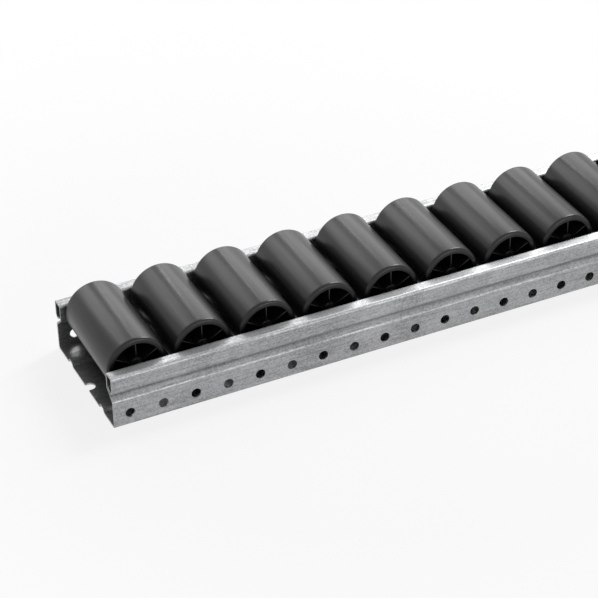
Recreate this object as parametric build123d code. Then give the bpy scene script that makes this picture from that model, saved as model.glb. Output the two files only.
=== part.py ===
from build123d import *
import math
import os

# Roller track for gravity flow racks: a roll-formed channel rail with a row of wide plastic rollers.
# Millimetres. The origin is on the underside of the rail, in the middle of its length and width.
# X runs along the rail, which is the way the goods travel, Y runs across it along the axles, Z is up.

# Rail as a whole
rail_width = 88.0
axle_height = 30.0
sheet = 1.2
bend_radius = 1.2

# Hem box along each edge, whose inner wall carries the axles
hem_width = 8.3
hem_above_axle = 4.2

# Shoulder where the side wall steps in under the hem
shoulder_below_axle = 6.1
shoulder_rise = 6.2

# Lip that closes the hem box below and leaves a groove above the shoulder
lip_below_axle = 8.1
lip_angle = 29.0
lip_gap = 0.4
lip_radius = 1.8

# Two stiffening beads pressed up along the web
bead_centre = 24.5
bead_base = 7.4
bead_top = 3.6
bead_height = 2.35

# Holes along the rail
wall_hole_diameter = 6.0
wall_hole_height = 8.3
web_slot_width = 6.8
web_slot_length = 10.0
web_slot_offset = -1.5

# Rollers
roller_count = 10
roller_pitch = 40.0
roller_gap = 4.0
roller_end_gap = 2.7
roller_wall = 3.5
roller_edge = 1.5
roller_web = 2.0

# Ribs and hub inside a roller
rib_count = 6
rib_thickness = 1.2
rib_recess = 1.0
hub_diameter = 9.0
nose_diameter = 6.8

# Axles
axle_diameter = 4.0

# Clearances
running_clearance = 0.08
seat_clearance = 0.03
side_play = 0.3
axle_end_play = 0.4

# Sizes that follow
rail_length = roller_count * roller_pitch
rail_height = axle_height + hem_above_axle
half_width = rail_width / 2
inner_face = half_width - hem_width
shoulder_high = axle_height - shoulder_below_axle
shoulder_low = shoulder_high - shoulder_rise
lip_corner_height = axle_height - lip_below_axle
wall_hole_pitch = roller_pitch / 2
roller_diameter = roller_pitch - roller_gap
roller_length = 2 * (inner_face - roller_end_gap)
wall_line = half_width - sheet / 2
inner_line = inner_face + sheet / 2
axle_half = half_width - sheet - axle_end_play
hub_half = inner_face - side_play
axle_positions = [roller_pitch * (i - (roller_count - 1) / 2) for i in range(roller_count)]


def half_section():
    """Centre line of the sheet on the +Y side, from the hem's lip down to the middle of the web.

    Returns the points as (y, z) and the bend radius at each point between the first and the last.
    """
    lip_tip = inner_face + sheet + lip_gap + sheet / 2
    lip_rise = (wall_line - lip_tip) * math.tan(math.radians(lip_angle))
    top = rail_height - sheet / 2
    web = sheet / 2
    crest = web + bead_height
    corners = [
        ((lip_tip, lip_corner_height + lip_rise), None),
        ((wall_line, lip_corner_height), lip_radius),
        ((wall_line, top), bend_radius),
        ((inner_line, top), bend_radius),
        ((inner_line, shoulder_high), bend_radius),
        ((wall_line, shoulder_low), bend_radius),
        ((wall_line, web), bend_radius),
        ((bead_centre + bead_base / 2, web), bend_radius),
        ((bead_centre + bead_top / 2, crest), bend_radius),
        ((bead_centre - bead_top / 2, crest), bend_radius),
        ((bead_centre - bead_base / 2, web), bend_radius),
    ]
    points = [point for point, radius in corners]
    radii = [radius for point, radius in corners if radius is not None]
    return points, radii


def rail_blank():
    """The folded strip with no holes, as one constant section."""
    points, radii = half_section()
    mirrored = [(-y, z) for y, z in reversed(points)]
    line = FilletPolyline(points + mirrored, radius=radii + list(reversed(radii)))
    section = Plane.YZ * trace(line, sheet)
    return extrude(section, amount=rail_length / 2, both=True)


def along_y(radius, low, high, x, z):
    """A cylinder on an axis parallel to Y, between two values of y."""
    disc = Plane((x, low, z), x_dir=(1, 0, 0), z_dir=(0, 1, 0)) * Circle(radius)
    return extrude(disc, amount=high - low)


def wall_holes():
    """The row of round holes through both lower walls, cut from both sides at once."""
    count = round(rail_length / wall_hole_pitch)
    first = -(count - 1) * wall_hole_pitch / 2
    reach = half_width + sheet
    return [
        along_y(wall_hole_diameter / 2, -reach, reach, first + i * wall_hole_pitch, wall_hole_height)
        for i in range(count)
    ]


def web_slots():
    """Long slots in the web between the rollers; the rail is sawn through the first and the last."""
    slot = extrude(SlotOverall(web_slot_length, web_slot_width), amount=3 * sheet, both=True)
    middle = roller_count / 2
    return [
        Pos((i - middle) * roller_pitch, web_slot_offset, sheet / 2) * slot
        for i in range(roller_count + 1)
    ]


def axle_seats():
    """Holes in the two inner walls; the hem's outer skin stays whole and hides the axle ends."""
    radius = axle_diameter / 2 + seat_clearance
    reach = inner_face + sheet + lip_gap / 2
    return [along_y(radius, -reach, reach, x, axle_height) for x in axle_positions]


def make_rail():
    """The whole rail with its holes, slots and axle seats."""
    return rail_blank() - wall_holes() - web_slots() - axle_seats()


def roller_blank():
    """Rim, middle web and hub with its two noses, turned about the axle."""
    outer = roller_diameter / 2
    inner = outer - roller_wall
    bore = axle_diameter / 2 + running_clearance
    rim_end = roller_length / 2
    face = rim_end - rib_recess
    web = roller_web / 2
    half = [
        (bore, hub_half),
        (nose_diameter / 2, hub_half),
        (nose_diameter / 2, face),
        (hub_diameter / 2, face),
        (hub_diameter / 2, web),
        (inner, web),
        (inner, rim_end),
        (outer - roller_edge, rim_end),
        (outer - roller_edge / 3, rim_end - roller_edge / 3),
        (outer, rim_end - roller_edge),
    ]
    corners = half + [(radius, -along) for radius, along in reversed(half)]
    return revolve(make_face(Polyline(corners, close=True)), Axis.Y)


def roller_ribs():
    """Flat ribs from the hub to the rim on both sides of the middle web; one points straight up."""
    inner = roller_diameter / 2 - roller_wall
    start = axle_diameter / 2 + running_clearance + (hub_diameter - axle_diameter) / 4
    length = inner + roller_wall / 2 - start
    height = roller_length - 2 * rib_recess
    rib = Pos(0, 0, start + length / 2) * Box(rib_thickness, height, length)
    return [Rot(0, i * 360 / rib_count, 0) * rib for i in range(rib_count)]


def make_roller():
    """One moulded roller, centred on its own axle."""
    return roller_blank() + roller_ribs()


def make_axle():
    """One straight steel pin, centred on the rail's middle plane."""
    return along_y(axle_diameter / 2, -axle_half, axle_half, 0, 0)


def build():
    """Every piece by its name, in its place."""
    pieces = {"rail": make_rail()}
    roller = make_roller()
    axle = make_axle()
    for number, x in enumerate(axle_positions, start=1):
        place = Pos(x, 0, axle_height)
        pieces[f"axle_{number:02d}"] = place * axle
        pieces[f"roller_{number:02d}"] = place * roller
    return pieces


os.makedirs("parts", exist_ok=True)
for name, piece in build().items():
    export_step(piece, f"parts/{name}.step")
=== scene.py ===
import math

import bmesh
import bpy
from mathutils import Matrix, Vector


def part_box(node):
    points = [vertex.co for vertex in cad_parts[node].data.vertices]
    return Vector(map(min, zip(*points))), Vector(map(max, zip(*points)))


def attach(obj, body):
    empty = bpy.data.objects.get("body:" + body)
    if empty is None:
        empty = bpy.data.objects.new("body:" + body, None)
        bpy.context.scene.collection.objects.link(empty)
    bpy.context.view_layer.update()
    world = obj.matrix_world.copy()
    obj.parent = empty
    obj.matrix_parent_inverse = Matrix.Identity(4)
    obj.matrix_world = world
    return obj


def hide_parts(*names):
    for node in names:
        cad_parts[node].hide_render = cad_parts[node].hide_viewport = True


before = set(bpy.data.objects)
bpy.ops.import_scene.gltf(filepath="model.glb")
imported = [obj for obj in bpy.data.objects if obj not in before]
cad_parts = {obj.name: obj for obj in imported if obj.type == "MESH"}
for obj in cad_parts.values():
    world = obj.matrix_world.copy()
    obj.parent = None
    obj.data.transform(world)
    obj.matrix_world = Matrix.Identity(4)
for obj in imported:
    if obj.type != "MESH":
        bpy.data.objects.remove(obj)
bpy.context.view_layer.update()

scene = bpy.context.scene


# Camera: the photograph's own viewpoint, fitted to the rail's edges and holes and the roller row
AZIMUTH = math.radians(-25.273)
ELEVATION = math.radians(34.166)
ROLL = math.radians(-1.031)
CAMERA_PLACE = Vector((-0.51222, -0.94886, 0.73137))
SENSOR = 36.0
FOCAL_PIXELS = 2148.5
FRAME_PIXELS = 598.0


def add_camera():
    """A camera at the fitted place, turned by azimuth, elevation and a slight roll."""
    back = Vector((
        math.sin(AZIMUTH) * math.cos(ELEVATION),
        -math.cos(AZIMUTH) * math.cos(ELEVATION),
        math.sin(ELEVATION),
    ))
    level = Vector((0, 0, 1)).cross(back).normalized()
    upright = back.cross(level)
    right = math.cos(ROLL) * level + math.sin(ROLL) * upright
    up = math.cos(ROLL) * upright - math.sin(ROLL) * level
    data = bpy.data.cameras.new("camera")
    data.sensor_fit = "HORIZONTAL"
    data.sensor_width = SENSOR
    data.lens = SENSOR * FOCAL_PIXELS / FRAME_PIXELS
    data.clip_start = 0.01
    data.clip_end = 50.0
    camera = bpy.data.objects.new("camera", data)
    turn = Matrix((right, up, back)).transposed().to_4x4()
    camera.matrix_world = Matrix.Translation(CAMERA_PLACE) @ turn
    scene.collection.objects.link(camera)
    scene.camera = camera


# Roller, in metres from its own centre: radii, and places along its axle. The CAD mesh's facets
# fall a little short of its 18 mm radius, so the outside is 0.01 mm less, to stay inside their box.
# The ribs run from inside the hub's wall to inside the rim's.
OUTSIDE = 0.01799
INSIDE = 0.0145
RIM_END = 0.033
RIM_ROUNDING = 0.0019
RIM_INNER_EDGE = 0.0004
FACE = 0.032
WEB = 0.001
HUB = 0.0045
HUB_EDGE = 0.0003
NOSE = 0.0034
NOSE_END = 0.0354
BORE = 0.00208
RIB_COUNT = 6
RIB_THICKNESS = 0.0007
RIB_START = 0.00308
RIB_TIP = 0.0149
RIB_EDGE = 0.00015
STEPS = 96
SHARP_ANGLE = math.radians(32)
SAME_PLACE = 1e-6
SAME_POINT = 1e-7


def turned_body(shape):
    """Rim, web and hub: half a section spun about the axle, its edges rounded, then mirrored."""
    section = [
        (BORE, 0), (BORE, NOSE_END), (NOSE, NOSE_END), (NOSE, FACE), (HUB, FACE), (HUB, WEB),
        (INSIDE, WEB), (INSIDE, RIM_END), (OUTSIDE, RIM_END), (OUTSIDE, 0),
    ]
    corners = [shape.verts.new((radius, along, 0)) for radius, along in section]
    lines = [shape.edges.new(pair) for pair in zip(corners, corners[1:])]
    bmesh.ops.spin(shape, geom=corners + lines, cent=(0, 0, 0), axis=(0, 1, 0), dvec=(0, 0, 0),
                   angle=math.tau, steps=STEPS, use_merge=True)
    for radius, along, size, segments in (
            (OUTSIDE, RIM_END, RIM_ROUNDING, 6), (INSIDE, RIM_END, RIM_INNER_EDGE, 2),
            (HUB, FACE, HUB_EDGE, 2), (NOSE, NOSE_END, HUB_EDGE, 2)):
        bmesh.ops.bevel(shape, geom=ring(shape, radius, along), offset=size, segments=segments,
                        profile=0.5, affect="EDGES", material=-1)
    everything = shape.verts[:] + shape.edges[:] + shape.faces[:]
    bmesh.ops.mirror(shape, geom=everything, axis="Y", merge_dist=SAME_PLACE)
    bmesh.ops.remove_doubles(shape, verts=shape.verts[:], dist=SAME_POINT)


def ring(shape, radius, along):
    """The edges of the circle with that radius at that place along the axle."""
    def on_circle(vertex):
        from_axle = math.hypot(vertex.co.x, vertex.co.z)
        return abs(from_axle - radius) < SAME_PLACE and abs(vertex.co.y - along) < SAME_PLACE
    return [edge for edge in shape.edges if all(on_circle(vertex) for vertex in edge.verts)]


def add_block(shape, angle, radius, size, edge):
    """A bevelled block with its middle at that radius, turned about the axle from upright."""
    place = Matrix.Rotation(math.radians(angle), 4, "Y") @ Matrix.Translation((0, 0, radius))
    block = bmesh.ops.create_cube(shape, size=1.0, matrix=place @ Matrix.Diagonal((*size, 1.0)))
    edges = list(dict.fromkeys(line for vertex in block["verts"] for line in vertex.link_edges))
    bmesh.ops.bevel(shape, geom=edges, offset=edge, segments=2, profile=0.5,
                    affect="EDGES", material=-1)


def moulded_roller():
    """A whole roller about the origin, with its ribs."""
    shape = bmesh.new()
    turned_body(shape)
    size = (RIB_THICKNESS, 2 * FACE, RIB_TIP - RIB_START)
    for number in range(RIB_COUNT):
        add_block(shape, number * 360 / RIB_COUNT, (RIB_START + RIB_TIP) / 2, size, RIB_EDGE)
    bmesh.ops.recalc_face_normals(shape, faces=shape.faces[:])
    return shape


def add_roller(name, material):
    """The finished roller in the place of that CAD node."""
    low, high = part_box(name)
    shape = moulded_roller()
    bmesh.ops.translate(shape, verts=shape.verts[:], vec=(low + high) / 2)
    mesh = bpy.data.meshes.new(name + "_moulding")
    shape.to_mesh(mesh)
    shape.free()
    mesh.shade_smooth()
    mesh.set_sharp_from_angle(angle=SHARP_ANGLE)
    mesh.materials.append(material)
    roller = bpy.data.objects.new(name + "_moulding", mesh)
    scene.collection.objects.link(roller)
    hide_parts(name)
    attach(roller, name)


# Materials
def linear(hex_colour):
    """An sRGB hex colour as linear RGBA."""
    channels = [int(hex_colour[i:i + 2], 16) / 255 for i in (1, 3, 5)]
    light = [c / 12.92 if c <= 0.04045 else ((c + 0.055) / 1.055) ** 2.4 for c in channels]
    return (*light, 1.0)


def add(tree, kind, settings=None, inputs=None):
    """A node with its settings; each input, by name or number, takes a value or a link."""
    node = tree.nodes.new(kind)
    for key, value in (settings or {}).items():
        setattr(node, key, value)
    for key, value in (inputs or {}).items():
        if isinstance(value, bpy.types.NodeSocket):
            tree.links.new(value, node.inputs[key])
        else:
            node.inputs[key].default_value = value
    return node


def per_mm(size):
    """Noise scale whose features are about that many millimetres across."""
    return 1000.0 / size


def empty_material(name):
    """A material with no nodes yet, and its node tree."""
    material = bpy.data.materials.new(name)
    material.use_nodes = True
    material.node_tree.nodes.clear()
    return material, material.node_tree


def galvanised_strip():
    """Hot-dip galvanised steel strip, skin-passed and then roll-formed.

    The zinc gives a dull silver grey with a fine mottle of small crystals, and the forming rolls
    leave faint streaks along the rail. The crystals are drawn a little coarser than real, to show.
    """
    material, tree = empty_material("galvanised_strip")
    place = add(tree, "ShaderNodeTexCoord").outputs["Object"]
    along = add(tree, "ShaderNodeMapping", inputs={"Vector": place, "Scale": (0.03, 1.0, 1.0)})
    streaks = add(tree, "ShaderNodeTexNoise", inputs={
        "Vector": along.outputs[0], "Scale": per_mm(0.9), "Detail": 3.0, "Roughness": 0.6})
    clouds = add(tree, "ShaderNodeTexNoise", inputs={
        "Vector": place, "Scale": per_mm(26.0), "Detail": 3.0, "Roughness": 0.5})
    crystals = add(tree, "ShaderNodeTexVoronoi", inputs={"Vector": place, "Scale": per_mm(0.8)})
    sparkle = add(tree, "ShaderNodeSeparateColor", inputs={"Color": crystals.outputs["Color"]})
    mottle = add(tree, "ShaderNodeMapRange", inputs={
        "Value": sparkle.outputs["Red"], "To Min": -0.3, "To Max": 0.3})
    lines = add(tree, "ShaderNodeMapRange", inputs={
        "Value": streaks.outputs["Fac"],
        "From Min": 0.3, "From Max": 0.7, "To Min": -0.3, "To Max": 0.3})
    drift = add(tree, "ShaderNodeMapRange", inputs={
        "Value": clouds.outputs["Fac"],
        "From Min": 0.3, "From Max": 0.7, "To Min": 0.3, "To Max": 0.7})
    fine = add(tree, "ShaderNodeMath", {"operation": "ADD"}, {
        0: mottle.outputs[0], 1: lines.outputs[0]})
    shade = add(tree, "ShaderNodeMath", {"operation": "ADD", "use_clamp": True}, {
        0: fine.outputs[0], 1: drift.outputs[0]})
    tint = add(tree, "ShaderNodeMix", {"data_type": "RGBA"}, {
        0: shade.outputs[0], 6: linear("#7E7F80"), 7: linear("#B0B1B2")})
    rough = add(tree, "ShaderNodeMapRange", inputs={
        "Value": shade.outputs[0], "To Min": 0.48, "To Max": 0.38})
    rolled = add(tree, "ShaderNodeBump", inputs={
        "Strength": 0.1, "Distance": 0.0002, "Height": streaks.outputs["Fac"]})
    grained = add(tree, "ShaderNodeBump", inputs={
        "Strength": 0.06, "Distance": 0.0001,
        "Height": sparkle.outputs["Red"], "Normal": rolled.outputs[0]})
    across = add(tree, "ShaderNodeTangent", {"direction_type": "RADIAL", "axis": "X"})
    shader = add(tree, "ShaderNodeBsdfPrincipled", inputs={
        "Base Color": tint.outputs[2], "Metallic": 1.0, "Roughness": rough.outputs[0],
        "Anisotropic": 0.6, "Tangent": across.outputs[0], "Normal": grained.outputs[0]})
    add(tree, "ShaderNodeOutputMaterial", inputs={"Surface": shader.outputs[0]})
    return material


def moulded_polypropylene():
    """Black polypropylene, injection moulded and polished in use by the boxes that roll over it.

    It is nearly black with a satin sheen, and soft streaks run along each roller.
    """
    material, tree = empty_material("moulded_polypropylene")
    place = add(tree, "ShaderNodeTexCoord").outputs["Object"]
    along = add(tree, "ShaderNodeMapping", inputs={"Vector": place, "Scale": (1.0, 0.03, 1.0)})
    flow = add(tree, "ShaderNodeTexNoise", inputs={
        "Vector": along.outputs[0], "Scale": per_mm(4.0), "Detail": 3.0, "Roughness": 0.55})
    scuffs = add(tree, "ShaderNodeTexNoise", inputs={
        "Vector": place, "Scale": per_mm(1.2), "Detail": 3.0, "Roughness": 0.7})
    streaks = add(tree, "ShaderNodeMapRange", inputs={
        "Value": flow.outputs["Fac"], "From Min": 0.3, "From Max": 0.7})
    tint = add(tree, "ShaderNodeMix", {"data_type": "RGBA"}, {
        0: streaks.outputs[0], 6: linear("#0C0C0D"), 7: linear("#191A1B")})
    rough = add(tree, "ShaderNodeMapRange", inputs={
        "Value": streaks.outputs[0], "To Min": 0.36, "To Max": 0.26})
    drawn = add(tree, "ShaderNodeBump", inputs={
        "Strength": 0.12, "Distance": 0.0004, "Height": flow.outputs["Fac"]})
    fine = add(tree, "ShaderNodeBump", inputs={
        "Strength": 0.05, "Distance": 0.0001,
        "Height": scuffs.outputs["Fac"], "Normal": drawn.outputs[0]})
    shader = add(tree, "ShaderNodeBsdfPrincipled", inputs={
        "Base Color": tint.outputs[2], "Roughness": rough.outputs[0], "IOR": 1.49,
        "Specular IOR Level": 0.41, "Normal": fine.outputs[0]})
    add(tree, "ShaderNodeOutputMaterial", inputs={"Surface": shader.outputs[0]})
    return material


def drawn_wire():
    """Bright drawn steel wire, with fine draw marks along each axle."""
    material, tree = empty_material("drawn_wire")
    place = add(tree, "ShaderNodeTexCoord").outputs["Object"]
    along = add(tree, "ShaderNodeMapping", inputs={"Vector": place, "Scale": (1.0, 0.03, 1.0)})
    marks = add(tree, "ShaderNodeTexNoise", inputs={
        "Vector": along.outputs[0], "Scale": per_mm(0.5), "Detail": 3.0})
    tint = add(tree, "ShaderNodeMix", {"data_type": "RGBA"}, {
        0: marks.outputs["Fac"], 6: linear("#98989A"), 7: linear("#B6B6B8")})
    grooved = add(tree, "ShaderNodeBump", inputs={
        "Strength": 0.15, "Distance": 0.0001, "Height": marks.outputs["Fac"]})
    shader = add(tree, "ShaderNodeBsdfPrincipled", inputs={
        "Base Color": tint.outputs[2], "Metallic": 1.0, "Roughness": 0.3,
        "Normal": grooved.outputs[0]})
    add(tree, "ShaderNodeOutputMaterial", inputs={"Surface": shader.outputs[0]})
    return material


def paper_floor():
    """A matt white sheet, shown as white to the camera and in reflections, with a soft shadow."""
    material, tree = empty_material("paper_floor")
    place = add(tree, "ShaderNodeTexCoord").outputs["Object"]
    fibre = add(tree, "ShaderNodeTexNoise", inputs={
        "Vector": place, "Scale": per_mm(3.0), "Detail": 2.0})
    tint = add(tree, "ShaderNodeMix", {"data_type": "RGBA"}, {
        0: fibre.outputs["Fac"], 6: linear("#F2F2F2"), 7: linear("#F7F7F7")})
    matt = add(tree, "ShaderNodeBsdfDiffuse", inputs={"Color": tint.outputs[2]})
    glow = add(tree, "ShaderNodeEmission", inputs={"Strength": 1.0})
    distance = add(tree, "ShaderNodeVectorMath", {"operation": "LENGTH"}, {0: place})
    level = add(tree, "ShaderNodeMapRange", inputs={
        "Value": distance.outputs["Value"],
        "From Min": NEAR_FLOOR, "From Max": FAR_FLOOR, "To Min": FLOOR_GLOW})
    share = add(tree, "ShaderNodeMath", {"operation": "MULTIPLY"}, {
        0: seen_directly(tree), 1: level.outputs[0]})
    mixed = add(tree, "ShaderNodeMixShader", inputs={
        0: share.outputs[0], 1: matt.outputs[0], 2: glow.outputs[0]})
    add(tree, "ShaderNodeOutputMaterial", inputs={"Surface": mixed.outputs[0]})
    return material


def seen_directly(tree):
    """1 for rays from the camera, mirror-like reflections and clear materials, and 0 for the rest."""
    path = add(tree, "ShaderNodeLightPath")
    either = add(tree, "ShaderNodeMath", {"operation": "MAXIMUM"}, {
        0: path.outputs["Is Camera Ray"], 1: path.outputs["Is Glossy Ray"]})
    any_of = add(tree, "ShaderNodeMath", {"operation": "MAXIMUM"}, {
        0: either.outputs[0], 1: path.outputs["Is Transmission Ray"]})
    return any_of.outputs[0]


def dress(node_name, material):
    """Gives a CAD node that material alone."""
    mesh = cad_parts[node_name].data
    mesh.materials.clear()
    mesh.materials.append(material)


# Stage, in metres. FLOOR_GLOW is how much of the floor's white doesn't depend on the lamps near the
# object, out to NEAR_FLOOR from the middle; from FAR_FLOOR on, none of it does.
ROOM_LIGHT = 0.1
FLOOR_GLOW = 0.84
NEAR_FLOOR = 0.22
FAR_FLOOR = 0.45
FLOOR_REACH = 6.0
FLOOR_HEIGHT = -0.0002
ROW_MIDDLE = (0, 0, 0.03)


def add_floor():
    """A large flat sheet just under the rail."""
    mesh = bpy.data.meshes.new("floor")
    corners = [(-FLOOR_REACH, -FLOOR_REACH), (FLOOR_REACH, -FLOOR_REACH),
               (FLOOR_REACH, FLOOR_REACH), (-FLOOR_REACH, FLOOR_REACH)]
    mesh.from_pydata([(x, y, FLOOR_HEIGHT) for x, y in corners], [], [(0, 1, 2, 3)])
    mesh.materials.append(paper_floor())
    floor = bpy.data.objects.new("floor", mesh)
    scene.collection.objects.link(floor)


def add_softbox(name, place, width, height, power):
    """A rectangular area lamp, in metres and watts, that faces the middle of the roller row."""
    data = bpy.data.lights.new(name, "AREA")
    data.shape = "RECTANGLE"
    data.size = width
    data.size_y = height
    data.energy = power
    lamp = bpy.data.objects.new(name, data)
    turn = (Vector(place) - Vector(ROW_MIDDLE)).to_track_quat("Z", "Y")
    lamp.matrix_world = Matrix.Translation(place) @ turn.to_matrix().to_4x4()
    scene.collection.objects.link(lamp)


def light_world():
    """An even, dim room that shows as white to the camera and in reflections."""
    world = bpy.data.worlds.new("studio")
    scene.world = world
    world.use_nodes = True
    tree = world.node_tree
    tree.nodes.clear()
    room = add(tree, "ShaderNodeBackground", inputs={"Strength": ROOM_LIGHT})
    white = add(tree, "ShaderNodeBackground", inputs={"Strength": 1.0})
    for background in (room, white):
        background.inputs["Color"].default_value = (1.0, 1.0, 1.0, 1.0)
    mixed = add(tree, "ShaderNodeMixShader", inputs={
        0: seen_directly(tree), 1: room.outputs[0], 2: white.outputs[0]})
    add(tree, "ShaderNodeOutputWorld", inputs={"Surface": mixed.outputs[0]})


galvanised = galvanised_strip()
plastic = moulded_polypropylene()
wire = drawn_wire()
rollers = sorted(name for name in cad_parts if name.startswith("roller"))
for node_name in rollers:
    add_roller(node_name, plastic)
for node_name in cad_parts:
    if node_name in rollers:
        dress(node_name, plastic)
    elif node_name.startswith("axle"):
        dress(node_name, wire)
    else:
        dress(node_name, galvanised)

add_floor()
light_world()

# The two broad lamps behind give each roller its two broad streaks, and the narrow one fills the
# step between them. The front one lifts the near wall, which the floor lights most. The one
# overhead lights the hem's top, from far enough aside to leave the gaps dark.
add_softbox("back_left", (-0.45, 1.134, 0.90), 0.75, 0.75, 4.1)
add_softbox("back_right", (0.60, 1.134, 0.80), 0.8, 0.9, 4.9)
add_softbox("back_strip", (0.235, 1.158, 0.94), 0.07, 0.7, 0.85)
add_softbox("front", (0.38, -1.40, 0.36), 0.85, 0.35, 3.9)
add_softbox("overhead", (0.80, 0.38, 1.04), 0.25, 0.62, 12.0)
add_camera()
scene.view_settings.view_transform = "Standard"
